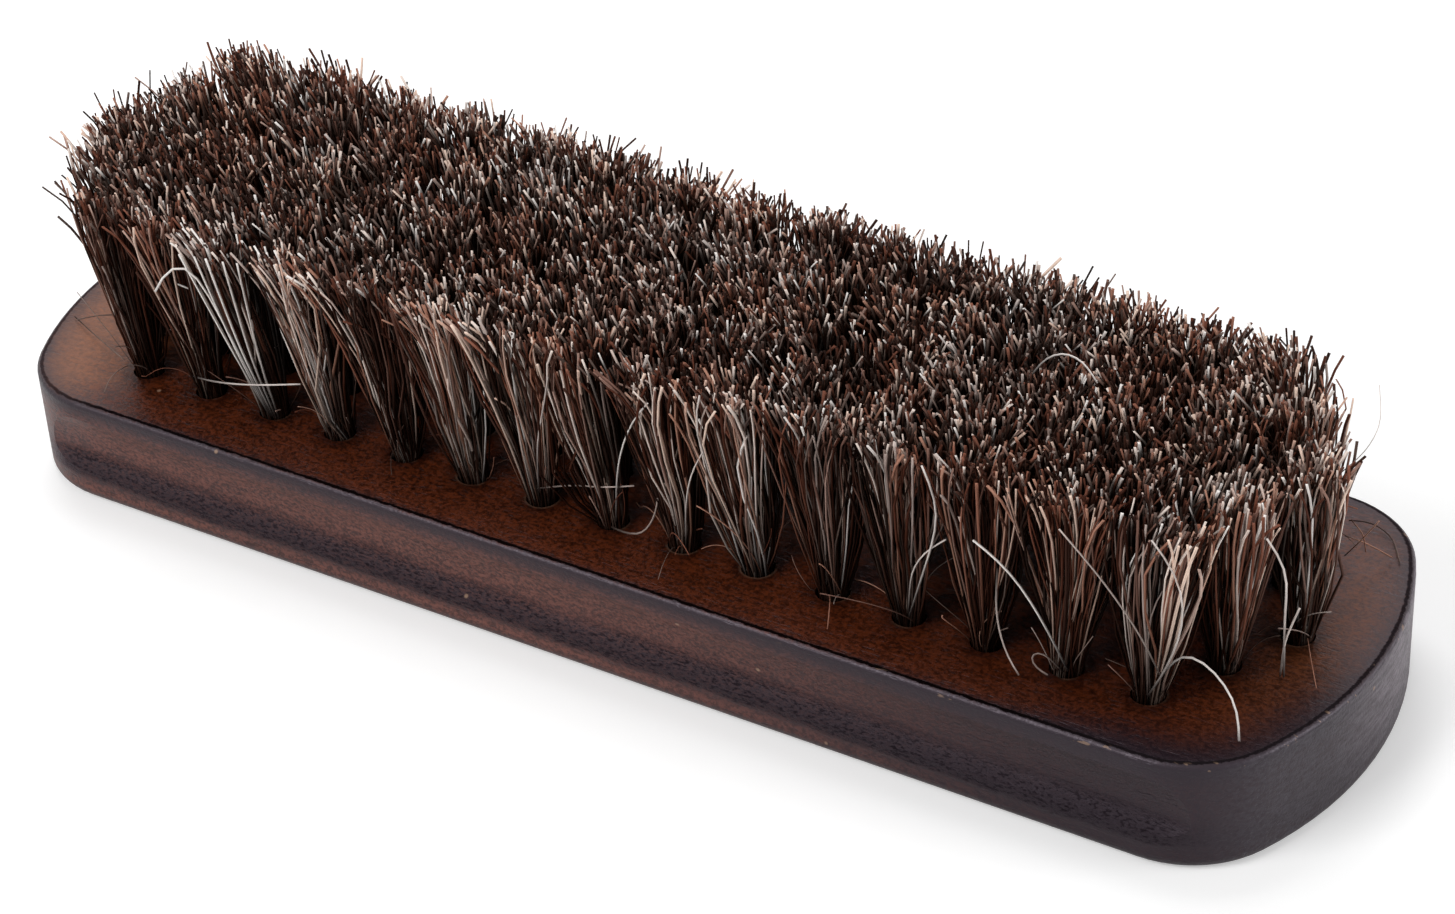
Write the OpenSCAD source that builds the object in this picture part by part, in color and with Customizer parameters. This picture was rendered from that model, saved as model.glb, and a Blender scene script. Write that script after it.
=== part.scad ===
// Shoe shine brush: a drilled hardwood block set with folded horsehair tufts.
// Units are millimetres. The brush lies on its palm face, bristles up.
// The origin is the middle of the palm face, X runs along the brush, Z points to the bristles.

/* [Block] */
// Overall length of the wooden block
block_l = 170; // [130:1:230]
// Overall width of the wooden block
block_w = 52; // [46:1:80]
// Thickness of the wooden block
block_t = 14; // [12:0.5:24]
// Radius of the four corners seen from above
corner_r = 12.5; // [8:0.5:20]
// How far the end bulges past its corners
end_bow = 3; // [1:0.1:6]
// Round along the lower, palm edge
palm_round = 1.6; // [0.6:0.1:3]
// Round along the upper, bristle edge
face_round = 0.7; // [0.3:0.1:2]

/* [Finger grooves] */
// Depth of the finger groove in each long side
groove_depth = 1.3; // [0.6:0.1:2.5]
// Height of the crisp lower lip of the groove above the palm face
groove_lip = 4.2; // [3:0.1:5]
// Height of the deepest line of the groove above its lower lip
groove_rise = 2; // [1:0.1:3]
// Plain wood left between the groove and the bristle face
groove_land = 2.3; // [1.5:0.1:4]

/* [Holes] */
// Holes in the middle row, each row further out has one less
middle_holes = 17; // [11:1:21]
// Distance from the end of the block to the last hole of the middle row
end_margin = 9.6; // [8:0.1:16]
// Distance from the side of the block to the outer rows
side_margin = 9.8; // [8:0.1:12]
// Diameter of the drilled holes
hole_d = 3.8; // [3:0.1:4.4]
// Wood left under the point of each hole
hole_floor = 3.4; // [2:0.1:6]
// Full angle of the drill point
drill_angle = 118; // [90:1:140]

/* [Tufts] */
// Free length of the bristles above the block
hair_l = 23; // [12:0.5:35]
// Strands modelled in the ring of each tuft, round the one at its middle
ring_strands = 5; // [4:1:5]
// Width of a strand
strand_w = 1.05; // [0.6:0.05:1.2]
// Gap between a tuft's outer strands and the wall of its hole
root_gap = 0.25; // [0.15:0.05:0.3]
// Distance between the outer strands of neighbouring tufts at the tips
tip_gap = 2.6; // [1.8:0.1:4]
// Unevenness of the trimmed tips
trim_wander = 0.5; // [0:0.1:1]
// How far the end tufts lean outwards at their tips
end_lean = 2.2; // [0:0.1:4]
// How far the side tufts lean outwards at their tips
side_lean = 1.4; // [0:0.1:3]
// Gap between a tuft and the wall of its hole
hair_fit = 0.05; // [0.02:0.01:0.1]

/* [Anchors] */
// Thickness of the flat wire anchor
anchor_t = 0.35; // [0.2:0.05:0.6]
// Height of the flat wire anchor
anchor_h = 1.8; // [1:0.1:2.5]
// How far each end of an anchor bites into the wood
anchor_bite = 0.5; // [0.2:0.1:0.8]
// Thickness of the folded hair under the anchor
fold_t = 1.2; // [0.6:0.1:2]
// Angle between an anchor and the length of the block
anchor_turn = 45; // [0:5:90]
// Gap between an anchor and the hair or wood round it
anchor_fit = 0.02; // [0.01:0.01:0.05]

/* [Hidden] */

$fn = 96;
// Every cutter passes the surface that it opens by this much
overcut = 1;

// Plan of the block: corner centres, and the arc that bows the ends
corner_x = block_l / 2 - corner_r - end_bow;
corner_y = block_w / 2 - corner_r;
bow_r = (corner_y * corner_y + end_bow * end_bow) / (2 * end_bow);
bow_x = corner_x + end_bow - bow_r;
bow_angle = asin(corner_y / bow_r);

// Groove section: two arcs that meet on its deepest line
groove_deep_z = groove_lip + groove_rise;
groove_top_z = block_t - groove_land;
function arc_radius(rise, depth) = (rise * rise + depth * depth) / (2 * depth);
groove_upper_r = arc_radius(groove_top_z - groove_deep_z, groove_depth);
groove_lower_r = arc_radius(groove_rise, groove_depth);

// Hole pattern: staggered rows, each one hole shorter than its inner neighbour.
// Each row of tufts and each row of anchors is a node of its own.
hole_rows = 5;
middle_row = (hole_rows - 1) / 2;
hole_pitch = (block_l - 2 * end_margin) / (middle_holes - 1);
row_pitch = (block_w - 2 * side_margin) / (hole_rows - 1);
stagger = norm([hole_pitch / 2, row_pitch]);
drill_point = hole_d / 2 / tan(drill_angle / 2);
hole_bottom = hole_floor + drill_point;
function row_count(row) = middle_holes - abs(row - middle_row);
function hole_x(row, i) = (i - (row_count(row) - 1) / 2) * hole_pitch;
function hole_y(row) = (row - middle_row) * row_pitch;

// Hair: the folded root fills the hole down to its straight wall
hair_d = hole_d - 2 * hair_fit;
anchor_z = hole_bottom + fold_t;
anchor_l = hole_d + 2 * anchor_bite;
tip_z = block_t + hair_l;
strands = ring_strands + 1;
strand_r = strand_w / sqrt(3);
strand_sink = 0.8;
// Distance from the middle of a tuft to its outer strands, in the hole and at the tips
root_spread = hole_d / 2 - root_gap - strand_r;
tip_spread = (min(hole_pitch, stagger) - tip_gap) / 2;
// Share of its length at which a strand has its bend, and how far out it is by then
bend_at = 0.45;
bend_out = 0.38;
// How far a tip may wander sideways, and round its tuft in degrees
tip_wander = 0.25;
tip_twist = 8;
// Three random shares for each strand
wander = rands(-1, 1, 3 * strands * middle_holes * hole_rows, 27);

// Outer part of the block's section, from its middle out to reach, both edges rounded
module edge_section(reach) {
    square([reach - palm_round, block_t]);
    translate([0, palm_round])
        square([reach - face_round, block_t - palm_round]);
    translate([0, palm_round])
        square([reach, block_t - palm_round - face_round]);
    translate([reach - palm_round, palm_round])
        circle(r = palm_round);
    translate([reach - face_round, block_t - face_round])
        circle(r = face_round);
}

// Half disc of the groove section, above or below its deepest line
module groove_half(upper) {
    radius = upper ? groove_upper_r : groove_lower_r;
    intersection() {
        translate([radius - groove_depth, 0])
            circle(r = radius);
        translate([-groove_depth, upper ? 0 : -radius])
            square([2 * groove_depth, radius]);
    }
}

// Half of the cove cutter, as long as the block, along the side at +Y
module cove_half(upper) {
    translate([-block_l / 2, block_w / 2, groove_deep_z])
        rotate([90, 0, 90])
            linear_extrude(height = block_l)
                groove_half(upper);
}

// Straight half of the block between its corners, with its groove
module side_slab() {
    translate([-corner_x, 0, 0])
        rotate([90, 0, 90])
            linear_extrude(height = 2 * corner_x)
                difference() {
                    edge_section(block_w / 2);
                    translate([block_w / 2, groove_deep_z])
                        groove_half(true);
                    translate([block_w / 2, groove_deep_z])
                        groove_half(false);
                }
}

// Round corner at +X and +Y, where the groove runs out as the side turns away
module corner_wedge() {
    difference() {
        translate([corner_x, corner_y, 0])
            rotate([0, 0, bow_angle])
                rotate_extrude(angle = 90 - bow_angle)
                    edge_section(corner_r);
        cove_half(true);
        cove_half(false);
    }
}

// Bowed end at +X, a sector of one large disc
module end_sector() {
    translate([bow_x, 0, 0])
        rotate([0, 0, -bow_angle])
            rotate_extrude(angle = 2 * bow_angle)
                edge_section(bow_r + corner_r);
}

// The block before drilling
module blank() {
    for (side = [0, 180])
        rotate([0, 0, side])
            side_slab();
    for (x = [0, 1], y = [0, 1])
        mirror([x, 0, 0])
            mirror([0, y, 0])
                corner_wedge();
    for (side = [0, 180])
        rotate([0, 0, side])
            end_sector();
}

// Blind hole with its drill point, and the two nicks that the anchor bites
module hole_cutter() {
    rotate_extrude()
        polygon([
            [0, hole_floor],
            [hole_d / 2, hole_bottom],
            [hole_d / 2, block_t + overcut],
            [0, block_t + overcut]
        ]);
    anchor_space();
}

// Room of one anchor, shared by the wood and the hair
module anchor_space() {
    translate([0, 0, anchor_z + anchor_h / 2])
        rotate([0, 0, anchor_turn])
            cube([
                anchor_l + 2 * anchor_fit,
                anchor_t + 2 * anchor_fit,
                anchor_h + 2 * anchor_fit
            ], center = true);
}

module block() {
    color("saddlebrown")
        difference() {
            blank();
            for (row = [0 : hole_rows - 1], i = [0 : row_count(row) - 1])
                translate([hole_x(row, i), hole_y(row), 0])
                    hole_cutter();
        }
}

// Three sided strand through the ring centres given, cut level at its tip
module strand(centres, turn) {
    sides = 3;
    last = len(centres) - 1;
    points = [
        for (c = centres, k = [0 : sides - 1])
            c + strand_r * [cos(turn + 120 * k), sin(turn + 120 * k), 0]
    ];
    walls = [
        for (i = [0 : last - 1], k = [0 : sides - 1])
            let (a = i * sides + k, b = i * sides + (k + 1) % sides)
                for (half = [[a, a + sides, b + sides], [a, b + sides, b]])
                    half
    ];
    top = last * sides;
    polyhedron(
        points = points,
        faces = concat([[0, 1, 2]], walls, [[top + 2, top + 1, top]])
    );
}

// Where strand k of a tuft stands at a share of its length, seen from the tuft's hole
function strand_place(k, share, lean, drift) =
    let (
        out = k == 0 ? 0 : 1,
        angle = 360 * k / ring_strands + tip_twist * share * drift[2],
        spread = root_spread + (tip_spread - root_spread) * share,
        stray = tip_wander * share
    )
        out * spread * [cos(angle), sin(angle)] + share * lean + stray * [drift[0], drift[1]];

// One tuft: folded root round its anchor, and the strands that leave the hole
module tuft(row, i) {
    place = [hole_x(row, i), hole_y(row)];
    lean = [
        end_lean * place[0] / (block_l / 2 - end_margin),
        side_lean * place[1] / (block_w / 2 - side_margin)
    ];
    first = 3 * strands * (row * middle_holes + i);
    difference() {
        union() {
            translate([place[0], place[1], hole_bottom])
                cylinder(d = hair_d, h = block_t - hole_bottom);
            for (k = [0 : strands - 1]) {
                drift = [for (n = [0 : 2]) wander[first + 3 * k + n]];
                foot = strand_place(k, 0, lean, drift);
                bend = strand_place(k, bend_out, lean, drift);
                tip = strand_place(k, 1, lean, drift);
                strand([
                    concat(place + foot, block_t - strand_sink),
                    concat(place + bend, block_t + bend_at * hair_l),
                    concat(place + tip, tip_z + trim_wander * drift[0])
                ], 360 * k / ring_strands);
            }
        }
        translate([place[0], place[1], 0])
            anchor_space();
    }
}

// Flat wire staple, driven across the hole into the wood
module anchor() {
    translate([0, 0, anchor_z + anchor_h / 2])
        rotate([0, 0, anchor_turn])
            cube([anchor_l, anchor_t, anchor_h], center = true);
}

module tuft_row(row) {
    color("saddlebrown")
        for (i = [0 : row_count(row) - 1])
            tuft(row, i);
}

module anchor_row(row) {
    color("silver")
        for (i = [0 : row_count(row) - 1])
            translate([hole_x(row, i), hole_y(row), 0])
                anchor();
}

module tuft_row_1() tuft_row(0);
module tuft_row_2() tuft_row(1);
module tuft_row_3() tuft_row(2);
module tuft_row_4() tuft_row(3);
module tuft_row_5() tuft_row(4);
module anchor_row_1() anchor_row(0);
module anchor_row_2() anchor_row(1);
module anchor_row_3() anchor_row(2);
module anchor_row_4() anchor_row(3);
module anchor_row_5() anchor_row(4);

block();
tuft_row_1();
tuft_row_2();
tuft_row_3();
tuft_row_4();
tuft_row_5();
anchor_row_1();
anchor_row_2();
anchor_row_3();
anchor_row_4();
anchor_row_5();
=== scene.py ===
# %% [markdown]
# # A shoe shine brush, dressed in Blender
# The CAD model brings the drilled wooden block, the flat wire anchors, and tufts of six
# thick strands each. Here the block gets its stain and lacquer, the anchors their bright
# drawn wire, and the strands of each tuft give way to about a hundred folded horsehairs.

import math

import bpy
import numpy as np
from mathutils import Matrix, Vector


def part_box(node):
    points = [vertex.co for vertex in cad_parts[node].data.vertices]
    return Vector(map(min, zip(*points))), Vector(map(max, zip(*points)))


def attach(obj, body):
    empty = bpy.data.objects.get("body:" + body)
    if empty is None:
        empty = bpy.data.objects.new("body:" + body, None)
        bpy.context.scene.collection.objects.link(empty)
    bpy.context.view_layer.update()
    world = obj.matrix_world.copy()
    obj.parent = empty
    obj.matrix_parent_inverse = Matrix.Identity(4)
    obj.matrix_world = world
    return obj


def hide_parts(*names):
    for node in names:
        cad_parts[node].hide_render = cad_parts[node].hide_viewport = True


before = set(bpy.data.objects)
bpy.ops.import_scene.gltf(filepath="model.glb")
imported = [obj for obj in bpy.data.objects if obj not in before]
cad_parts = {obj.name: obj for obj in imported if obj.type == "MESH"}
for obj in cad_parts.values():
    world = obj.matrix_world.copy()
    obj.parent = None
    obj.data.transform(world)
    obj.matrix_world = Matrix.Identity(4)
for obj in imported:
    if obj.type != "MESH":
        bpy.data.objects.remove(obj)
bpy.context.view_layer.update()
print("CAD nodes:", ", ".join(sorted(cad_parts)))

# %% [markdown]
# ## Sizes of the brush
# A brush maker works from a drilling plan: five staggered rows of blind holes, each row one
# hole shorter than the row inside it. The same plan places the hair here. All sizes are in
# millimetres and become metres only when a mesh is made.

# %% Drilling plan
MM = 0.001
HOLE_ROWS = 5
MIDDLE_HOLES = 17
HOLE_WIDTH = 3.8
END_MARGIN = 9.6
SIDE_MARGIN = 9.8
ANCHOR_TURN = math.radians(45)
ANCHOR_FOOT = 5.74
HAIR_LENGTH = 23.0
HALF_LENGTH, HALF_WIDTH, BLOCK_TOP = np.array(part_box("block")[1]) / MM
HOLE_PITCH = (2 * HALF_LENGTH - 2 * END_MARGIN) / (MIDDLE_HOLES - 1)
ROW_PITCH = (2 * HALF_WIDTH - 2 * SIDE_MARGIN) / (HOLE_ROWS - 1)


def hole_centres(row):
    """Holes of one row: equally spaced along X, centred, at the row's place across Y."""
    count = MIDDLE_HOLES - abs(row - HOLE_ROWS // 2)
    x = (np.arange(count) - (count - 1) / 2) * HOLE_PITCH
    y = np.full(count, (row - HOLE_ROWS // 2) * ROW_PITCH)
    return np.column_stack([x, y])


print("holes in each row:", [len(hole_centres(row)) for row in range(HOLE_ROWS)])

# %% [markdown]
# ## Wiring shader nodes
# A procedural material is a small circuit. These helpers add a node, set its plain values
# and plug sockets together, so that each recipe below reads as a list of steps.

# %% Helpers that add a node
NODE_STEP = 180
NODES_A_LINE = 24


def add_node(tree, kind, inputs=None, **settings):
    """Adds a node, sets its properties, and fills or links the inputs that are named."""
    node = tree.nodes.new(kind)
    line, place = divmod(len(tree.nodes), NODES_A_LINE)
    node.location = (NODE_STEP * place, -NODE_STEP * line)
    for name, value in settings.items():
        setattr(node, name, value)
    for name, value in (inputs or {}).items():
        if isinstance(value, bpy.types.NodeSocket):
            tree.links.new(value, node.inputs[name])
        else:
            node.inputs[name].default_value = value
    return node


def maths(tree, operation, *values, clamp=False):
    """One Math node; each value is a number or another node's output."""
    inputs = dict(enumerate(values))
    return add_node(tree, "ShaderNodeMath", inputs, operation=operation, use_clamp=clamp).outputs[0]


def smooth_step(tree, value, start, end):
    """0 before start, 1 after end, and a soft S between them."""
    inputs = {"Value": value, "From Min": start, "From Max": end}
    node = add_node(tree, "ShaderNodeMapRange", inputs, interpolation_type="SMOOTHSTEP")
    return node.outputs["Result"]


def new_material(name):
    """An empty node material with one Principled shader wired to its output."""
    material = bpy.data.materials.new(name)
    material.use_nodes = True
    tree = material.node_tree
    shader = next(n for n in tree.nodes if n.type == "BSDF_PRINCIPLED")
    return material, tree, shader


def new_group(name, inputs, outputs):
    """A shader node group; inputs and outputs are (name, kind) pairs."""
    group = bpy.data.node_groups.new(name, "ShaderNodeTree")
    for side, sockets in (("INPUT", inputs), ("OUTPUT", outputs)):
        for label, kind in sockets:
            group.interface.new_socket(label, in_out=side, socket_type=kind)
    return group, group.nodes.new("NodeGroupInput"), group.nodes.new("NodeGroupOutput")


print("a circuit is laid out", NODES_A_LINE, "nodes to a line")

# %% [markdown]
# Masks are numbers from 0 to 1 that say how strongly an effect shows at a point. A few short
# helpers for sums with masks keep the recipes below readable.

# %% Helpers for masks
def times(tree, *factors):
    """The product of all factors."""
    product = factors[0]
    for factor in factors[1:]:
        product = maths(tree, "MULTIPLY", product, factor)
    return product


def scaled(tree, value, by, plus):
    """A value times a second one, plus a third."""
    return maths(tree, "MULTIPLY_ADD", value, by, plus)


def all_but(tree, mask, part=1.0):
    """1 where the mask is 0, and less by the given part where the mask is 1."""
    return scaled(tree, mask, -part, 1.0)


def swing(tree, noise, reach, about):
    """Noise from 0 to 1 made to swing about a value, by half the reach each way."""
    return scaled(tree, maths(tree, "SUBTRACT", noise, 0.5), reach, about)


def between(tree, share, first, second):
    """The first value where the share is 0, the second where it is 1."""
    return scaled(tree, share, maths(tree, "SUBTRACT", second, first), first)


print("mask helpers ready")

# %% [markdown]
# A colour is three numbers for light, red, green and blue, in linear light, where twice the
# number is twice the light. Two colours are mixed by a mask, and a colour bar turns one
# number into a whole range of colours.

# %% Helpers for colours
def rgb(red, green, blue):
    """A colour with full cover, in linear light."""
    return (red, green, blue, 1.0)


def mix_colours(tree, share, first, second, blend="MIX"):
    """First colour where the share is 0, second where it is 1."""
    node = add_node(tree, "ShaderNodeMix", data_type="RGBA", blend_type=blend)
    for place, value in ((0, share), (6, first), (7, second)):
        if isinstance(value, bpy.types.NodeSocket):
            tree.links.new(value, node.inputs[place])
        else:
            node.inputs[place].default_value = value
    return node.outputs[2]


def colour_bar(tree, share, stops):
    """Colour bar read at a share; stops are (place, colour) pairs."""
    node = add_node(tree, "ShaderNodeValToRGB", {"Fac": share})
    bar = node.color_ramp
    while len(bar.elements) < len(stops):
        bar.elements.new(1.0)
    for element, (place, colour) in zip(bar.elements, stops):
        element.position = place
        element.color = colour
    return node.outputs["Color"]


def number_bar(tree, share, stops):
    """A colour bar of greys, which gives plain numbers."""
    return colour_bar(tree, share, [(at, rgb(level, level, level)) for at, level in stops])


def darkened(tree, colour, level):
    """A colour times one number for red, green and blue."""
    grey = add_node(tree, "ShaderNodeCombineXYZ", {"X": level, "Y": level, "Z": level})
    return mix_colours(tree, 1.0, colour, grey.outputs[0], blend="MULTIPLY")


print("colour helpers ready, and mid grey is", rgb(0.18, 0.18, 0.18)[:3])

# %% [markdown]
# ## The outline of the block, as a shader sees it
# The real block is stained, then its rims are burnished almost black. A painter's mask for
# that needs to know how far each point lies inside the outline. The plan is a rounded
# rectangle with bowed ends, so the distance comes from the corner circles near the corners
# and from one large circle at each end.

# %% Group: distance from the rim
CORNER_ROUND = 12.5
END_BOW = 3.0
CORNER_X = HALF_LENGTH - CORNER_ROUND - END_BOW
CORNER_Y = HALF_WIDTH - CORNER_ROUND
BOW_ROUND = (CORNER_Y**2 + END_BOW**2) / (2 * END_BOW)
BOW_X = CORNER_X + END_BOW - BOW_ROUND

rim_group, group_in, group_out = new_group(
    "distance from the rim",
    [("Place", "NodeSocketVector")],
    [(name, "NodeSocketFloat") for name in ("Inset", "Height", "Along", "Across")],
)
in_mm = add_node(rim_group, "ShaderNodeVectorMath", operation="SCALE")
in_mm.inputs["Scale"].default_value = 1 / MM
rim_group.links.new(group_in.outputs["Place"], in_mm.inputs[0])
axes = add_node(rim_group, "ShaderNodeSeparateXYZ", {0: in_mm.outputs[0]}).outputs
from_middle_x, from_middle_y = (maths(rim_group, "ABSOLUTE", axes[k]) for k in (0, 1))


def distance(tree, across, along):
    """Length of the vector that two sides make, by Pythagoras."""
    return maths(tree, "SQRT", scaled(tree, along, along, times(tree, across, across)))


past_x = maths(rim_group, "MAXIMUM", maths(rim_group, "SUBTRACT", from_middle_x, CORNER_X), 0.0)
past_y = maths(rim_group, "MAXIMUM", maths(rim_group, "SUBTRACT", from_middle_y, CORNER_Y), 0.0)
corner_inset = maths(rim_group, "SUBTRACT", CORNER_ROUND, distance(rim_group, past_x, past_y))
from_bow = maths(rim_group, "SUBTRACT", from_middle_x, BOW_X)
to_bow = distance(rim_group, from_bow, from_middle_y)
bow_inset = maths(rim_group, "SUBTRACT", BOW_ROUND + CORNER_ROUND, to_bow)
bow_line = times(rim_group, from_bow, CORNER_Y / (CORNER_X - BOW_X))
in_bow = maths(rim_group, "LESS_THAN", from_middle_y, bow_line)
inset = between(rim_group, in_bow, corner_inset, bow_inset)
for label, value in (
    ("Inset", inset),
    ("Height", axes[2]),
    ("Along", axes[0]),
    ("Across", axes[1]),
):
    rim_group.links.new(value, group_out.inputs[label])
print("rim group:", len(rim_group.nodes), "nodes")

# %% [markdown]
# The drilling plan can be read the other way round too: which hole is nearest to a point? Its
# row comes from rounding Y to the row pitch, its place in the row from rounding X to the hole
# pitch, half a pitch further along in every second row. This finds the rims of the holes.

# %% Group: distance from the nearest hole
hole_group, group_in, group_out = new_group(
    "distance from the nearest hole",
    [(name, "NodeSocketFloat") for name in ("Along", "Across")],
    [("Gap", "NodeSocketFloat")],
)


def kept_within(tree, value, limit):
    """A value held between a limit and its negative."""
    lowest = times(tree, limit, -1.0)
    return maths(tree, "MAXIMUM", maths(tree, "MINIMUM", value, limit), lowest)


along, across = group_in.outputs["Along"], group_in.outputs["Across"]
near_row = maths(hole_group, "ROUND", maths(hole_group, "DIVIDE", across, float(ROW_PITCH)))
near_row = kept_within(hole_group, near_row, HOLE_ROWS // 2)
from_row = maths(hole_group, "ABSOLUTE", near_row)
stagger = times(hole_group, maths(hole_group, "MODULO", from_row, 2.0), 0.5)
in_row = maths(hole_group, "DIVIDE", along, float(HOLE_PITCH))
in_row = maths(hole_group, "ROUND", maths(hole_group, "SUBTRACT", in_row, stagger))
in_row = maths(hole_group, "ADD", in_row, stagger)
last = scaled(hole_group, from_row, -0.5, (MIDDLE_HOLES - 1) / 2)
in_row = kept_within(hole_group, in_row, last)
hole_x = scaled(hole_group, in_row, -float(HOLE_PITCH), along)
hole_y = scaled(hole_group, near_row, -float(ROW_PITCH), across)
gap = maths(hole_group, "SUBTRACT", distance(hole_group, hole_x, hole_y), HOLE_WIDTH / 2)
hole_group.links.new(gap, group_out.inputs["Gap"])
print("hole group:", len(hole_group.nodes), "nodes")

# %% [markdown]
# ## Grain
# Wood is a bundle of long fibres, so every pattern on it is noise that is stretched along
# the length of the block: broad bands of figure, fine fibres, and short dark pores. A fourth
# pattern has hardly any direction. It is the speckle of stain that dried unevenly.

# %% Group: grain
grain_group, group_in, group_out = new_group(
    "wood grain",
    [("Place", "NodeSocketVector")],
    [(name, "NodeSocketFloat") for name in ("Figure", "Fibre", "Pores", "Speckle")],
)


def stretched_noise(tree, place, scale, detail, roughness=0.5):
    """Noise read at the place times a scale for each axis, in features a metre."""
    mapping = add_node(tree, "ShaderNodeMapping", {"Vector": place, "Scale": scale})
    inputs = {"Vector": mapping.outputs[0], "Scale": 1.0, "Detail": detail, "Roughness": roughness}
    return add_node(tree, "ShaderNodeTexNoise", inputs).outputs["Fac"]


place = group_in.outputs["Place"]
figure = stretched_noise(grain_group, place, (16, 130, 130), 3.0)
fibre = stretched_noise(grain_group, place, (90, 1500, 1500), 3.0)
pores = stretched_noise(grain_group, place, (420, 3000, 3000), 1.0)
speckle = stretched_noise(grain_group, place, (2100, 2600, 2600), 2.0, 0.6)
for label, noise, start, end in (
    ("Figure", figure, 0.3, 0.7),
    ("Fibre", fibre, 0.3, 0.7),
    ("Pores", pores, 0.6, 0.72),
    ("Speckle", speckle, 0.34, 0.66),
):
    grain_group.links.new(smooth_step(grain_group, noise, start, end), group_out.inputs[label])
print("grain group:", len(grain_group.nodes), "nodes")

# %% [markdown]
# ## The stained block
# The photographed block is one piece of hardwood with a red-brown stain under a satin
# lacquer. The CAD shape is right, so it stays, and only its material is new. The stain is
# dark beside the tufts, where that dark is partly painted shade of the bristles, light on
# the left end, partly as painted light, and a shade greyer on the sides. Every rim is
# burnished almost black, the crease of the finger groove is black and ragged, partly as
# painted shade, and the right end has been scuffed and carries a painted sheen. Each of
# these is a mask, worked out from a few measures of place.

# %% Places on the block
wood, tree, shader = new_material("stained_wood")
where = add_node(tree, "ShaderNodeTexCoord").outputs["Object"]
rim = add_node(tree, "ShaderNodeGroup", {"Place": where}, node_tree=rim_group).outputs
grain = add_node(tree, "ShaderNodeGroup", {"Place": where}, node_tree=grain_group).outputs
hole_inputs = {"Along": rim["Along"], "Across": rim["Across"]}
hole = add_node(tree, "ShaderNodeGroup", hole_inputs, node_tree=hole_group).outputs
blotch = stretched_noise(tree, where, (110, 260, 260), 3.0)
crumble = stretched_noise(tree, where, (900, 1500, 1500), 3.0, 0.7)
left_end = smooth_step(tree, scaled(tree, blotch, 9.0, rim["Along"]), -60.0, -72.0)
near_right = smooth_step(tree, rim["Along"], 50.0, 76.0)
right_end = smooth_step(tree, rim["Along"], 68.0, 80.0)
to_back = smooth_step(tree, rim["Across"], -20.0, 4.0)
at_rim = smooth_step(tree, rim["Height"], BLOCK_TOP - 0.9, BLOCK_TOP - 0.5)
on_top = smooth_step(tree, rim["Height"], BLOCK_TOP - 0.35, BLOCK_TOP - 0.08)
on_palm = smooth_step(tree, rim["Height"], 0.35, 0.08)
on_face = maths(tree, "ADD", on_top, on_palm, clamp=True)
print("places:", len(tree.nodes), "nodes")

# %% [markdown]
# Burnishing rubs the edges of stained wood dark. The share of the stain that it leaves to be
# seen runs from 0 to 1. On the flat faces that share grows with the distance from the rim,
# along a curve that a bar of numbers holds. The dark border is narrow at the sides and wide
# at both ends, and widest and blackest at the right front corner. Noise makes it wander.

# %% Burnish on the flat faces
RIM_STAIN = [
    (0.00, 0.10),
    (0.07, 0.06),
    (0.15, 0.22),
    (0.25, 0.43),
    (0.37, 0.62),
    (0.52, 0.82),
    (0.80, 1.00),
]
BORDER = 2.4
MORE_AT_LEFT = 4.6
MORE_AT_RIGHT_FRONT = 8.8
MORE_AT_RIGHT_BACK = 5.2
more_at_right = between(tree, to_back, MORE_AT_RIGHT_FRONT, MORE_AT_RIGHT_BACK)
border = scaled(tree, near_right, more_at_right, BORDER)
border = scaled(tree, left_end, MORE_AT_LEFT, border)
wander = swing(tree, blotch, 1.8, rim["Inset"])
wander = swing(tree, crumble, 0.9, wander)
face_stain = number_bar(tree, maths(tree, "DIVIDE", wander, border), RIM_STAIN)
front_corner = times(tree, near_right, all_but(tree, to_back), smooth_step(tree, wander, 7.0, 1.0))
face_stain = times(tree, face_stain, all_but(tree, front_corner, 0.6))
print("border:", BORDER, "mm, at the right front corner", BORDER + MORE_AT_RIGHT_FRONT, "mm")

# %% [markdown]
# On the sides the share follows the height, which the bar takes as a share of the thickness:
# black at the upper edge, clear over the upper cove of the groove, dark in its crease, where
# the dark is partly painted shade of the groove, clear again on the band below and dark at
# the foot. Towards the right end the sides turn black.

# %% Burnish on the sides
# Partly painted shade: the dip at the crease of the groove.
SIDE_STAIN_AND_SHADE = [
    (0.00, 0.15),
    (0.07, 0.48),
    (0.14, 0.95),
    (0.21, 0.50),
    (0.285, 0.28),
    (0.32, 0.30),
    (0.37, 0.50),
    (0.43, 0.70),
    (0.50, 0.82),
    (0.58, 0.96),
    (0.79, 1.00),
    (0.857, 0.50),
    (0.90, 0.20),
    (0.943, 0.05),
    (1.00, 0.00),
]
ragged_height = swing(tree, crumble, 0.8, rim["Height"])
side_stain_and_shade = number_bar(tree, maths(tree, "DIVIDE", ragged_height, BLOCK_TOP), SIDE_STAIN_AND_SHADE)
to_right = smooth_step(tree, scaled(tree, blotch, 10.0, rim["Along"]), -8.0, 76.0)
left_corner = smooth_step(tree, rim["Along"], -66.0, -84.0)
side_stain_and_shade = times(tree, side_stain_and_shade, all_but(tree, to_right, 0.93))
side_stain_and_shade = times(tree, side_stain_and_shade, all_but(tree, left_corner, 0.55))
stain = between(tree, on_face, side_stain_and_shade, face_stain)
print("side bar:", len(SIDE_STAIN_AND_SHADE), "stops over", round(float(BLOCK_TOP), 1), "mm")
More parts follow.
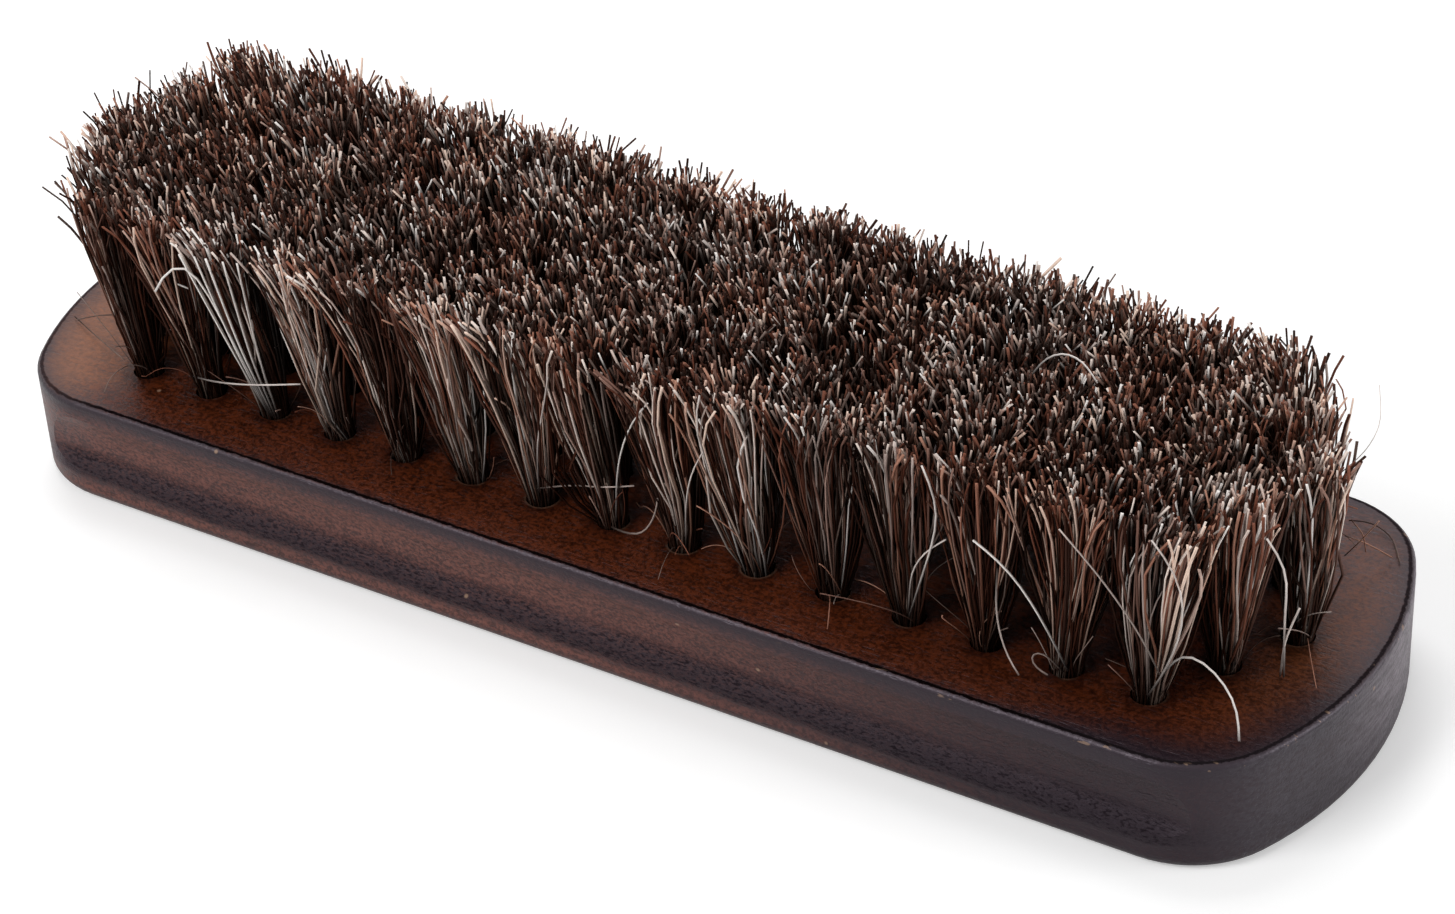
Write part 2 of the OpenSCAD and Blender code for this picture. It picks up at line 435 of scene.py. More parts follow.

# %% [markdown]
# The cutter tore the fibres in the crease of the groove, so black stain sits there in small
# pits, and part of that black is painted shade of the crease. It stops where the groove runs
# out, near both ends. The wood close round each hole is marked too and painted darker, as
# painted shade at the feet of the tufts.

# %% Crease and holes
at_groove = smooth_step(tree, maths(tree, "ABSOLUTE", rim["Along"]), 79.0, 71.0)
crease_height = swing(tree, blotch, 1.6, rim["Height"])
from_below = smooth_step(tree, crease_height, 2.6, 3.6)
from_above = smooth_step(tree, crease_height, 7.2, 5.0)
in_crease = times(tree, from_below, from_above, at_groove)
torn_fibres = stretched_noise(tree, where, (1500, 3600, 3600), 4.0, 0.65)
shallow_pit = smooth_step(tree, torn_fibres, 0.58, 0.44)
deep_pit = times(tree, in_crease, smooth_step(tree, torn_fibres, 0.50, 0.38))
# Partly painted shade: black in the crease.
black_pits_and_shade = times(tree, in_crease, scaled(tree, shallow_pit, 0.50, 0.40))
stain = times(tree, stain, all_but(tree, black_pits_and_shade))
# Painted shade: the wood round each hole is darkened.
shade_round_holes = times(tree, on_top, smooth_step(tree, hole["Gap"], 2.2, 0.0))
print("with the crease:", len(tree.nodes), "nodes")

# %% [markdown]
# The colour is thin, deep or side stain. The deep stain on the top carries painted shade of
# the bristles, and the thin stain on the left end painted light. The grain then makes it
# lighter or darker: figure and fibres first, the dried speckle over them, and a mottle on
# the top. Pores come next, and the burnish covers all of it.

# %% Stain and grain
STAIN_THIN_AND_LIT = rgb(0.235, 0.086, 0.034)
STAIN_DEEP_AND_SHADED = rgb(0.071, 0.014, 0.003)
STAIN_SIDE = rgb(0.132, 0.050, 0.036)
BURNISHED = rgb(0.014, 0.009, 0.013)
# Painted shade and light: deep stain darkens the top beside the tufts, thin stain lightens the left
# end.
thin_at_right = times(tree, right_end, scaled(tree, to_back, 0.32, 0.12))
thin_and_lit = maths(tree, "ADD", thin_at_right, left_end, clamp=True)
top_stain = mix_colours(tree, thin_and_lit, STAIN_DEEP_AND_SHADED, STAIN_THIN_AND_LIT)
stained = mix_colours(tree, on_top, STAIN_SIDE, top_stain)
speckling = scaled(tree, times(tree, left_end, on_top), -0.75, 1.05)
speckling = scaled(tree, times(tree, right_end, on_top), -0.35, speckling)
lightness = scaled(tree, grain["Figure"], 0.28, 0.76)
lightness = scaled(tree, grain["Fibre"], 0.16, lightness)
lightness = swing(tree, grain["Speckle"], speckling, lightness)
lightness = swing(tree, crumble, times(tree, on_top, 1.2), lightness)
deeper_right = times(
    tree, smooth_step(tree, rim["Along"], 20.0, 62.0), on_top, all_but(tree, right_end)
)
lightness = times(tree, lightness, all_but(tree, shade_round_holes, 0.55), all_but(tree, deeper_right, 0.30))
stained = darkened(tree, stained, lightness)
stained = mix_colours(tree, times(tree, grain["Pores"], 0.28), stained, BURNISHED)
block_colour = mix_colours(tree, stain, BURNISHED, stained)
print("with the stain:", len(tree.nodes), "nodes")

# %% [markdown]
# The right end is end grain, which drank stain and was then rubbed. It has fine scratches
# across it, and a pale painted sheen, strongest high up and to the back, which stands in for
# the reflection of the white ground.

# %% Scuffed end and painted sheen
SCUFFED = rgb(0.046, 0.040, 0.048)
PAINTED_SHEEN = rgb(0.200, 0.165, 0.190)
scratches = stretched_noise(tree, where, (2500, 260, 2600), 3.0, 0.7)
scratches = smooth_step(tree, scratches, 0.35, 0.65)
on_end = times(tree, smooth_step(tree, rim["Along"], 74.0, 82.0), all_but(tree, on_face))
scuffed = times(tree, on_end, scaled(tree, scratches, 0.8, 0.2))
block_colour = mix_colours(tree, scuffed, block_colour, SCUFFED)
# Painted sheen: a pale reflection painted high up on the scuffed end.
high_up = smooth_step(tree, rim["Height"], -3.0, 9.0)
painted_sheen_mask = times(tree, scuffed, high_up, smooth_step(tree, rim["Across"], -12.0, 8.0), 0.9)
block_colour = mix_colours(tree, painted_sheen_mask, block_colour, PAINTED_SHEEN)
print("with the scuffs:", len(tree.nodes), "nodes")

# %% [markdown]
# Just inside the upper edge runs a thin black line, where the stain gathered. It fades at
# both ends. The deep pits of the crease get a part of the same black.

# %% Black line and pits
LINE_BLACK = rgb(0.002, 0.001, 0.001)
ragged_inset = swing(tree, crumble, 0.5, rim["Inset"])
line_outside = smooth_step(tree, ragged_inset, 0.36, 0.50)
line_inside = smooth_step(tree, ragged_inset, 0.95, 0.75)
rim_line = times(tree, line_outside, line_inside, at_rim)
line_strength = scaled(tree, left_end, -0.5, 0.97)
line_strength = scaled(tree, near_right, -0.25, line_strength)
black_line = times(tree, rim_line, line_strength)
blackest = maths(tree, "MAXIMUM", black_line, times(tree, deep_pit, 0.4))
block_colour = mix_colours(tree, blackest, block_colour, LINE_BLACK)
print("with the line:", len(tree.nodes), "nodes")

# %% [markdown]
# A little bare wood shows: single crumbs, which are the middles of a few Voronoi cells
# picked by their random colour, the lips of some holes, and the rim where it was knocked.
# The pale bits on the rim are partly a painted highlight of the glossy edge.

# %% Bare wood
BARE_WOOD = rgb(0.46, 0.30, 0.20)
cells = add_node(tree, "ShaderNodeTexVoronoi", {"Vector": where, "Scale": 210.0}).outputs
lot = add_node(tree, "ShaderNodeSeparateXYZ", {0: cells["Color"]}).outputs[0]
middle = smooth_step(tree, cells["Distance"], 0.075, 0.03)
crumbs = times(tree, middle, smooth_step(tree, lot, 0.78, 0.80), 0.55)
lip = smooth_step(tree, hole["Gap"], 0.34, 0.12)
hole_lips = times(tree, on_top, lip, smooth_step(tree, blotch, 0.50, 0.60), 0.10)
rim_bits = smooth_step(tree, stretched_noise(tree, where, (420, 1400, 1400), 2.0), 0.67, 0.71)
on_edge = times(tree, at_rim, smooth_step(tree, rim["Inset"], 0.8, 0.3))
# Partly painted highlight: pale bits along the right part of the rim.
knocked_and_glints = times(tree, on_edge, rim_bits, smooth_step(tree, rim["Along"], 20.0, 50.0), 0.4)
bare = maths(tree, "MAXIMUM", maths(tree, "MAXIMUM", crumbs, hole_lips), knocked_and_glints)
block_colour = mix_colours(tree, bare, block_colour, BARE_WOOD)
tree.links.new(block_colour, shader.inputs["Base Color"])
print("wood colour:", len(tree.nodes), "nodes")

# %% [markdown]
# Lacquer over wood is smooth but not even. Roughness follows the speckle and the fibres, and
# is higher in the crease and on the black line. A low bump adds torn fibres and pores.
# Clear lacquer mirrors the white room even over black wood and turns it grey. A metal
# mirrors in its own colour instead, so the blackest places are made part metal: a black
# metal mirrors almost nothing.

# %% Wood gloss and relief
rough = scaled(tree, in_crease, 0.20, 0.30)
rough = scaled(tree, rim_line, 0.45, rough)
rough = scaled(tree, grain["Speckle"], 0.10, rough)
rough = scaled(tree, grain["Fibre"], 0.05, rough)
tree.links.new(rough, shader.inputs["Roughness"])
no_gloss = scaled(tree, deep_pit, 0.5, times(tree, in_crease, 0.3))
no_gloss = maths(tree, "MAXIMUM", no_gloss, black_line)
tree.links.new(no_gloss, shader.inputs["Metallic"])
relief = times(tree, torn_fibres, in_crease, 6.0)
relief = scaled(tree, grain["Speckle"], 0.35, relief)
relief = scaled(tree, grain["Fibre"], 0.25, relief)
relief = scaled(tree, grain["Pores"], -0.5, relief)
relief_inputs = {"Height": relief, "Strength": 0.4, "Distance": 0.12 * MM}
bump = add_node(tree, "ShaderNodeBump", relief_inputs)
tree.links.new(bump.outputs["Normal"], shader.inputs["Normal"])
shader.inputs["IOR"].default_value = 1.43
shader.inputs["Specular Tint"].default_value = rgb(1.0, 0.88, 1.0)
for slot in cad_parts["block"].material_slots:
    slot.material = wood
print("the block wears", wood.name)

# %% [markdown]
# ## The anchors
# Each tuft is folded over a short length of flat wire, which the filling machine drives into
# the wood across the hole. They are hidden in the finished brush. Drawn wire has fine lines
# along its length, which noise stretched along the wire's own direction gives.

# %% Anchor material
WIRE_DARK = rgb(0.42, 0.42, 0.43)
WIRE_BRIGHT = rgb(0.66, 0.66, 0.67)
wire, tree, shader = new_material("drawn_wire")
where = add_node(tree, "ShaderNodeTexCoord").outputs["Object"]
turn_back = {"Vector": where, "Rotation": (0.0, 0.0, -ANCHOR_TURN)}
along_wire = add_node(tree, "ShaderNodeMapping", turn_back).outputs[0]
lines = stretched_noise(tree, along_wire, (300, 9000, 9000), 2.0)
tone = colour_bar(tree, lines, [(0.3, WIRE_DARK), (0.7, WIRE_BRIGHT)])
tree.links.new(tone, shader.inputs["Base Color"])
tree.links.new(scaled(tree, lines, 0.2, 0.2), shader.inputs["Roughness"])
shader.inputs["Metallic"].default_value = 1.0
for row in range(HOLE_ROWS):
    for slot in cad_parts[f"anchor_row_{row + 1}"].material_slots:
        slot.material = wire
print("anchors wear", wire.name)

# %% [markdown]
# ## What a tuft is
# A filling machine picks a bundle of hair, folds it in the middle over a wire anchor and
# drives both into a hole. So each hair runs down one side of the anchor, under it and up
# the other side, and stands out of the hole as two ends. The ends cling together in locks
# and spread apart until neighbouring tufts meet, and the whole field is then trimmed level.

# %% Sizes of a tuft
HAIRS_A_TUFT = 208
LOCKS_A_TUFT = 24
HAIR_RADIUS = (0.10, 0.20)
PACKED_TO = HOLE_WIDTH / 2 - 0.12
PINCH = 0.90
TIP_REACH = 6.4
TIP_TURN = 0.9
FOLD_HEIGHT = ANCHOR_FOOT - 0.9
ABOVE = np.array([0.0, 0.13, 0.33, 0.57, 0.79, 0.92, 1.0])
IN_HOLE = 3
FRONT_LINE = -1.5 * ROW_PITCH
ends = HAIRS_A_TUFT * sum(len(hole_centres(row)) for row in range(HOLE_ROWS))
print("hair ends in a tuft:", HAIRS_A_TUFT, "and in the brush:", ends)

# %% [markdown]
# Use has swept most tufts of this brush to the left, and leaned those at the back left
# outward. A few short rows of numbers, fitted to the photograph, say how far the tips of the
# front and of the back row stand from over their holes at some places along the brush.

# %% Sweep of the tufts
FRONT_AT = (-75.0, -66.0, -56.0, -47.0, -38.0, -28.0, -10.0, 18.0, 30.0, 40.0, 57.0, 66.0, 75.0)
FRONT_SWEPT = (-3.4, -3.8, -5.0, -6.2, -5.3, -4.6, -3.1, -3.6, -1.4, -0.8, 0.3, 1.4, 2.2)
BACK_AT = (-66.0, -56.0, -40.0, -20.0, 0.0, 30.0, 57.0, 66.0, 75.0)
BACK_SWEPT = (-9.2, -6.2, -3.2, -1.6, -0.8, -0.5, -0.8, -1.4, -1.4)
BACK_LEAN = (4.4, 4.9, 4.8, 3.5, 1.6, 1.0, 0.5, 0.2, 0.0)


def lean_of(centres):
    """How far the tips of a tuft stand from over its hole. Along X the sweep of the front row
    turns into that of the back row in step with Y. Along Y the back rows lean outward."""
    back = np.clip(0.5 + centres[:, 1] / (4 * ROW_PITCH), 0, 1)
    along = (1 - back) * np.interp(centres[:, 0], FRONT_AT, FRONT_SWEPT)
    along += back * np.interp(centres[:, 0], BACK_AT, BACK_SWEPT)
    outer = np.clip(centres[:, 1] / (2 * ROW_PITCH), 0, 1) ** 1.2
    across = outer * np.interp(centres[:, 0], BACK_AT, BACK_LEAN)
    return np.column_stack([along, across])


print("lean of the first front tuft:", lean_of(hole_centres(0))[0].round(2), "mm")

# %% [markdown]
# Where a hair ends follows from where it stands in its hole: hairs at the edge of the hole
# spread the furthest. A lock goes its own way, and so, less, does each hair. Past the outer
# rows of holes the trimmed field has a worn edge, so tips beyond it are pressed in.

# %% Tips of the hairs
def unit_disc(random, count):
    """Random points spread evenly over a disc of radius 1."""
    turn = random.uniform(0, 2 * np.pi, count)
    far = np.sqrt(random.uniform(0, 1, count))
    return np.column_stack([far * np.cos(turn), far * np.sin(turn)])


def pressed_in(places, limit, keep):
    """Distances past a limit are kept only in part."""
    past = np.maximum(np.abs(places) - limit, 0)
    return places - np.sign(places) * past * (1 - keep)


def tip_places(random, centres, tuft, lock, rooted):
    """Tip of each hair: over its hole, plus the lean of the tuft, plus a spread that follows
    the hair's place in the hole, its lock's own way and its own way, then pressed in."""
    lock_way = unit_disc(random, len(centres) * LOCKS_A_TUFT)[lock]
    front = centres[tuft, 1:] < FRONT_LINE
    lock_share, own_share = np.where(front, 0.52, 0.30), np.where(front, 0.22, 0.40)
    spread = 0.75 * rooted + lock_share * lock_way + own_share * unit_disc(random, len(tuft))
    tips = (centres + lean_of(centres))[tuft] + TIP_REACH * spread
    tips[:, 0] = pressed_in(tips[:, 0], (MIDDLE_HOLES - 1) / 2 * HOLE_PITCH, 0.7)
    tips[:, 1] = pressed_in(tips[:, 1], 2 * ROW_PITCH, 0.62)
    return tips


print("the tips of a tuft spread to about", TIP_REACH, "mm round its middle")

# %% [markdown]
# No hair is straight or exactly as long as the next. Half a wave and a weaker full one bend
# it, one in eleven is wild, and some broke off short. In the front row, which is seen best,
# the hairs of a lock bend together, so that the lock shows as one.

# %% Bends and lengths
HALF_WAVE = 0.46
FULL_WAVE = 0.24
WILD_PART = 0.09
CUT_PART_IN_FRONT = 0.38
CUT_PART_BEHIND = 0.15
CUT_BY = 2.0
CUT_AT_MOST = 9.0
TRIMMED_TO = HAIR_LENGTH - 0.2


def with_lock(own, lock, front):
    """Front hairs mix their own value with that of their leader, the last hair of the lock."""
    leader = np.zeros(lock.max() + 1, int)
    leader[lock] = np.arange(len(lock))
    return np.where(front[:, None], 0.80 * own[leader[lock]] + 0.45 * own, own)


def bends(random, wild, lock, front):
    """How far half a wave and a full wave push each hair aside, along X and along Y."""
    half = random.normal(0, HALF_WAVE, (len(lock), 2)) * (1 + 2.2 * wild)
    full = random.normal(0, FULL_WAVE, (len(lock), 2)) * (1 + 1.8 * wild)
    return with_lock(half, lock, front), with_lock(full, lock, front)


def free_lengths(random, front):
    """Length above the block: the trimmed length, a little more or less, and less for hairs
    that are cut short, of which the front row has more."""
    count = len(front)
    cut_part = np.where(front, CUT_PART_IN_FRONT, CUT_PART_BEHIND)
    is_cut = random.uniform(0, 1, count) < cut_part
    short = np.minimum(random.exponential(CUT_BY, count), CUT_AT_MOST)
    return TRIMMED_TO + random.normal(0, 0.4, count) - np.where(is_cut, short, 0)


print("trimmed to", TRIMMED_TO, "mm above the wood")

# %% [markdown]
# In its hole a hair stands straight, and under the anchor the two halves of a hair meet on
# the fold line. Three points say so. Hairs on the open side of an outer tuft are marked,
# since light reaches them down to the wood, so they get less painted shade and are
# painted paler.

# %% In the hole
BESIDE_ANCHOR = 0.35


def path_in_hole(foot, hole):
    """Points on the fold line under the anchor, beside the anchor, and below the mouth."""
    along = np.array([np.cos(ANCHOR_TURN), np.sin(ANCHOR_TURN)])
    across = np.array([-along[1], along[0]])
    side = foot @ across
    kept_off = np.sign(side) * np.maximum(np.abs(side), BESIDE_ANCHOR)
    packed = (foot @ along)[:, None] * along
    steps = [
        (packed, FOLD_HEIGHT - 0.15 * np.abs(side)),
        (packed + kept_off[:, None] * across, FOLD_HEIGHT + 1.0 + 0 * side),
        (foot, BLOCK_TOP - 2.0 + 0 * side),
    ]
    return np.stack([np.column_stack([xy + hole, z]) for xy, z in steps], 1)


def on_outside(centres, tuft, rooted):
    """True for hairs on the open side of the tufts that stand round the edge of the brush."""
    at_front = (centres[tuft, 1] < FRONT_LINE) & (rooted[:, 1] < 0.1)
    at_back = (centres[tuft, 1] > -FRONT_LINE) & (rooted[:, 1] > -0.1)
    at_left = (tuft == 0) & (rooted[:, 0] < 0.1)
    at_right = (tuft == len(centres) - 1) & (rooted[:, 0] > -0.1)
    return at_front | at_back | at_left | at_right


print("points of a hair:", IN_HOLE, "in the hole and", len(ABOVE), "above")

# %% [markdown]
# A path is a short row of points. Making all paths at once, as whole arrays of hairs x
# points x XYZ, takes a moment, where a loop over hairs would take minutes.

# %% Paths of the hairs
def hair_paths(random, centres):
    """Centre lines of the hair ends of some tufts, with each hair's tuft and lock, and
    whether it is on the outside.

    A lock stands at a random place in its hole, and its hairs near that place. Above the
    block a hair moves from there to its tip in proportion to the share of its length. Its
    waves are sines of that share. The share to the power seven, less a part of the share
    itself, turns the last few millimetres, and is drawn once for the lock and once for the
    hair."""
    tuft = np.repeat(np.arange(len(centres)), HAIRS_A_TUFT)
    count, locks = len(tuft), len(centres) * LOCKS_A_TUFT
    lock = tuft * LOCKS_A_TUFT + random.integers(0, LOCKS_A_TUFT, count)
    rooted = 0.80 * unit_disc(random, locks)[lock] + 0.62 * unit_disc(random, count)
    rooted /= np.maximum(np.linalg.norm(rooted, axis=1), 1)[:, None]
    foot, hole = rooted * PACKED_TO, centres[tuft]
    way = tip_places(random, centres, tuft, lock, rooted) - hole - foot
    wild = np.where(random.uniform(0, 1, count) < WILD_PART, 1.0, 0.0)[:, None]
    way += wild * np.clip(random.normal(0, 1.2, (count, 2)), -1.7, 1.7)
    front = hole[:, 1] < FRONT_LINE
    half, full = bends(random, wild, lock, front)
    length = free_lengths(random, front)
    lock_turn = random.normal(0, TIP_TURN, (locks, 1, 2))[lock]
    own_turn = random.normal(0, TIP_TURN, (count, 1, 2))

    s = ABOVE[None, :, None]
    reach = (length / HAIR_LENGTH)[:, None, None]
    free = PINCH * foot[:, None] + way[:, None] * reach * s**1.08
    free = free + half[:, None] * np.sin(np.pi * s) + full[:, None] * np.sin(2 * np.pi * s)
    free = free + (lock_turn + own_turn) * (s**7 - 0.4 * s)
    rise = BLOCK_TOP + length[:, None] * ABOVE[None, :]
    above = np.dstack([free + hole[:, None], rise])
    paths = np.concatenate([path_in_hole(foot, hole), above], 1)
    return paths, tuft, lock, on_outside(centres, tuft, rooted)


print("paths have", IN_HOLE + len(ABOVE), "points")

# %% [markdown]
# A path becomes a tube by carrying a small triangle along it, square to the path. Three
# sides are enough for something a few tenths of a millimetre thick, once the shading is
# smooth. The corners of all tubes are numbered ring by ring, so the faces follow from
# counting.

# %% Tubes along paths
SIDES = 3
ACROSS_ALL = np.array([0.31, 0.95, 0.05])


def tube_points(paths, radius):
    """Corners of the tubes: each ring is its centre plus the radius times two unit vectors
    that are square to the path, turned by thirds of a circle. The first of them is also
    square to one direction that hardly any hair takes."""
    along = np.gradient(paths, axis=1)
    along /= np.linalg.norm(along, axis=2, keepdims=True)
    aside = np.cross(along, ACROSS_ALL)
    aside /= np.linalg.norm(aside, axis=2, keepdims=True)
    upon = np.cross(along, aside)
    angle = 2 * np.pi * np.arange(SIDES) / SIDES
    ring = aside[:, :, None] * np.cos(angle)[:, None] + upon[:, :, None] * np.sin(angle)[:, None]
    return paths[:, :, None] + ring * radius[:, :, None, None]


def tube_faces(hairs, rings):
    """Corner numbers of the walls, four to a wall, then of the root caps and the tip caps."""
    first = (np.arange(hairs) * rings * SIDES)[:, None]
    ring = (first + np.arange(rings - 1) * SIDES)[:, :, None]
    side = np.arange(SIDES)
    after = (side + 1) % SIDES
    walls = [ring + side, ring + after, ring + SIDES + after, ring + SIDES + side]
    root_caps = first + side[::-1]
    tip_caps = first + (rings - 1) * SIDES + side
    return np.stack(walls, -1).reshape(-1, 4), root_caps, tip_caps


print("faces of one tube of ten rings:", sum(len(faces) for faces in tube_faces(1, 10)))

# %% [markdown]
# Every tube gets a place on a colour chart, which is its UV map. Hairs of one shade and kind
# share a column: the columns are groups of one shade in three kinds, from grey to auburn.
# The height in the column is the share of the free length. The chart holds all columns
# twice, on the left for hair inside the brush and on the right for hair on its open sides.
# The export keeps a UV map of this name and bakes the colours into it.

# %% Places on the colour chart
SHADES = 96
KINDS = 3
CHART = "OFBake"
CAP_ACROSS = np.array([0.3, 0.5, 0.7])
ROOT_CAP_UP = np.array([0.002, 0.006, 0.002])
TIP_CAP_UP = np.array([0.994, 0.998, 0.994])


def chart_column(shade, kind):
    """Column for a shade from 0 to 1 and a kind from 0, grey, to the last, auburn."""
    step = np.floor(np.clip(shade, 0, 0.9999) * SHADES / KINDS).astype(int)
    return step * KINDS + kind


def chart_places(column, rings, free_from):
    """Chart place of every face corner, in the order of the faces. The walls go once round
    over the middle seven tenths of a column, and the caps stay small and at its ends. All
    heights keep a hundredth off the chart's edge."""
    share = np.clip((np.arange(rings) - free_from) / (rings - 1 - free_from), 0, 1)
    wrap = np.array([[0.0, 1.0, 1.0, 0.0]]) / SIDES + np.arange(SIDES)[:, None] / SIDES
    u_walls = (column[:, None, None, None] + 0.15 + 0.7 * wrap) / (2 * SHADES)
    v_walls = np.stack([share[:-1], share[:-1], share[1:], share[1:]], -1)[:, None]
    shape = (len(column), rings - 1, SIDES, 4)
    u_walls, v_walls = np.broadcast_to(u_walls, shape), np.broadcast_to(v_walls, shape)
    u_caps = ((column[:, None] + CAP_ACROSS) / (2 * SHADES)).ravel()
    v_caps = [np.tile(up, len(column)) for up in (ROOT_CAP_UP, TIP_CAP_UP)]
    u = np.concatenate([u_walls.ravel(), u_caps, u_caps])
    v = np.concatenate([v_walls.ravel(), *v_caps])
    return np.column_stack([u, v * 0.98 + 0.01])


print("chart:", 2 * SHADES, "columns of", SHADES // KINDS, "shades in", KINDS, "kinds")

# %% [markdown]
# The arrays become a mesh in a few calls that each fill one whole list: corners, loops,
# faces and chart places. The walls are shaded smooth and the caps flat.

# %% Mesh of tubes
def tube_mesh(name, paths, radius, column, free_from):
    """Mesh of closed three-sided tubes along the paths, with their places on the chart."""
    hairs, rings, _ = paths.shape
    walls, root_caps, tip_caps = tube_faces(hairs, rings)
    corners = np.concatenate([walls.ravel(), root_caps.ravel(), tip_caps.ravel()])
    sizes = np.repeat([4, SIDES], [len(walls), 2 * hairs])
    starts = np.cumsum(sizes) - sizes
    points = tube_points(paths, radius) * MM
    mesh = bpy.data.meshes.new(name)
    mesh.vertices.add(hairs * rings * SIDES)
    mesh.vertices.foreach_set("co", points.astype(np.float32).ravel())
    mesh.loops.add(len(corners))
    mesh.loops.foreach_set("vertex_index", corners.astype(np.int32))
    mesh.polygons.add(len(sizes))
    mesh.polygons.foreach_set("loop_start", starts.astype(np.int32))
    mesh.polygons.foreach_set("use_smooth", sizes == 4)
    mesh.update(calc_edges=True)
    chart = mesh.uv_layers.new(name=CHART)
    places = chart_places(column, rings, free_from)
    chart.uv.foreach_set("vector", places.astype(np.float32).ravel())
    mesh.validate()
    return mesh


print("tubes have", SIDES, "sides")

# %% [markdown]
# ## Hair colours
# Undyed horsehair is a mixture: black, dark brown and auburn with some grey and cream. The
# material reads the chart backwards. From the column it finds the half, the kind and the
# shade, and two bars, for grey and for auburn hair, give the colour of a shade from dark to
# pale. The kind says how much of each bar a hair takes.

# %% Hair material
GREY_HAIR = [
    (0.00, rgb(0.012, 0.005, 0.003)),
    (0.28, rgb(0.019, 0.011, 0.008)),
    (0.46, rgb(0.078, 0.050, 0.041)),
    (0.64, rgb(0.215, 0.155, 0.132)),
    (0.80, rgb(0.490, 0.395, 0.355)),
    (1.00, rgb(0.930, 0.880, 0.840)),
]
AUBURN_HAIR = [
    (0.00, rgb(0.015, 0.004, 0.002)),
    (0.28, rgb(0.036, 0.010, 0.005)),
    (0.46, rgb(0.112, 0.036, 0.021)),
    (0.64, rgb(0.250, 0.098, 0.063)),
    (0.80, rgb(0.465, 0.245, 0.172)),
    (1.00, rgb(0.830, 0.640, 0.530)),
]
hair, tree, shader = new_material("horsehair")
chart = add_node(tree, "ShaderNodeUVMap", uv_map=CHART).outputs["UV"]
chart_axes = add_node(tree, "ShaderNodeSeparateXYZ", {0: chart}).outputs
in_column = maths(tree, "FLOOR", times(tree, chart_axes[0], 2.0 * SHADES))
open_side = maths(tree, "GREATER_THAN", in_column, SHADES - 0.5)
in_half = scaled(tree, open_side, -float(SHADES), in_column)
its_kind = maths(tree, "MODULO", in_half, float(KINDS))
its_shade = maths(tree, "ADD", maths(tree, "SUBTRACT", in_half, its_kind), KINDS / 2)
its_shade = maths(tree, "DIVIDE", its_shade, float(SHADES))
grey, auburn = (colour_bar(tree, its_shade, stops) for stops in (GREY_HAIR, AUBURN_HAIR))
auburn_part = maths(tree, "DIVIDE", its_kind, KINDS - 1.0)
own_colour = mix_colours(tree, auburn_part, grey, auburn)
print("hair colours:", len(tree.nodes), "nodes")

# %% [markdown]
# Inside the brush a hair is painted dark except near its tip: painted shade for the shade
# that the dense hair casts there. Along the open sides the painted shade ends a little above
# its hole. Noise that differs from column to column makes streaks along the hair.

# %% Painted shade along the hairs
# Painted shade: a dark colour, and bars along the hair for how much of its own colour shows.
PAINTED_SHADE_HAIR = rgb(0.011, 0.004, 0.002)
INSIDE_UNSHADED = [(0.0, 0.00), (0.66, 0.05), (0.86, 0.20), (0.94, 0.68), (1.0, 1.0)]
OUTSIDE_UNSHADED = [(0.0, 0.05), (0.08, 0.13), (0.22, 0.38), (0.46, 0.80), (0.70, 1.0), (1.0, 1.0)]
inside, outside = (number_bar(tree, chart_axes[1], s) for s in (INSIDE_UNSHADED, OUTSIDE_UNSHADED))
unshaded_share = mix_colours(tree, open_side, inside, outside)
streak_axes = {"X": times(tree, in_column, 3.7), "Y": times(tree, chart_axes[1], 5.0)}
streak_place = add_node(tree, "ShaderNodeCombineXYZ", streak_axes).outputs[0]
streak_inputs = {"Vector": streak_place, "Scale": 1.0, "Detail": 2.0}
streak = add_node(tree, "ShaderNodeTexNoise", streak_inputs).outputs["Fac"]
# Painted shade: where the bar is low, the hair's colour is painted dark.
shaded_hair_colour = mix_colours(tree, unshaded_share, PAINTED_SHADE_HAIR, own_colour)
shaded_hair_colour = darkened(tree, shaded_hair_colour, maths(tree, "ADD", streak, 0.62))
tree.links.new(shaded_hair_colour, shader.inputs["Base Color"])
tree.links.new(scaled(tree, streak, 0.15, 0.42), shader.inputs["Roughness"])
shader.inputs["Specular IOR Level"].default_value = 0.06
print("hair material:", len(tree.nodes), "nodes")

# %% [markdown]
# The brush looks even from afar, yet each bundle came off its own part of the bale. So the
# shade and the kind of a hair are drawn partly for its tuft, partly for its lock and partly
# for itself. Hairs in view on the open sides are painted paler: painted light for the light
# that falls on them there.

# %% Shades and kinds
OWN_PART_INSIDE = 0.80
OWN_PART_OUTSIDE = 0.66


def picked_shades(random, tuft, lock, outside):
    """Shade of each hair, where 0 is dark and 1 is pale: the hair's own number and that of
    its lock, each times its part, and a little for its tuft."""
    of_tuft = random.normal(0, 0.04, tuft.max() + 1)[tuft]
    own = random.uniform(0, 1, len(tuft))
    of_lock = random.uniform(0, 1, (tuft.max() + 1) * LOCKS_A_TUFT)[lock]
    own_part = np.where(outside, OWN_PART_OUTSIDE, OWN_PART_INSIDE)
    shades = own_part * own**1.15 + (1.42 - own_part) * of_lock**1.15 - 0.20 + of_tuft
    # Painted light: on the open sides the shades are lifted, as light falls there.
    painted_light_shades = 0.135 + 0.74 * shades + 0.34 * shades**3
    return np.where(outside, painted_light_shades, 1.06 * shades - 0.01)


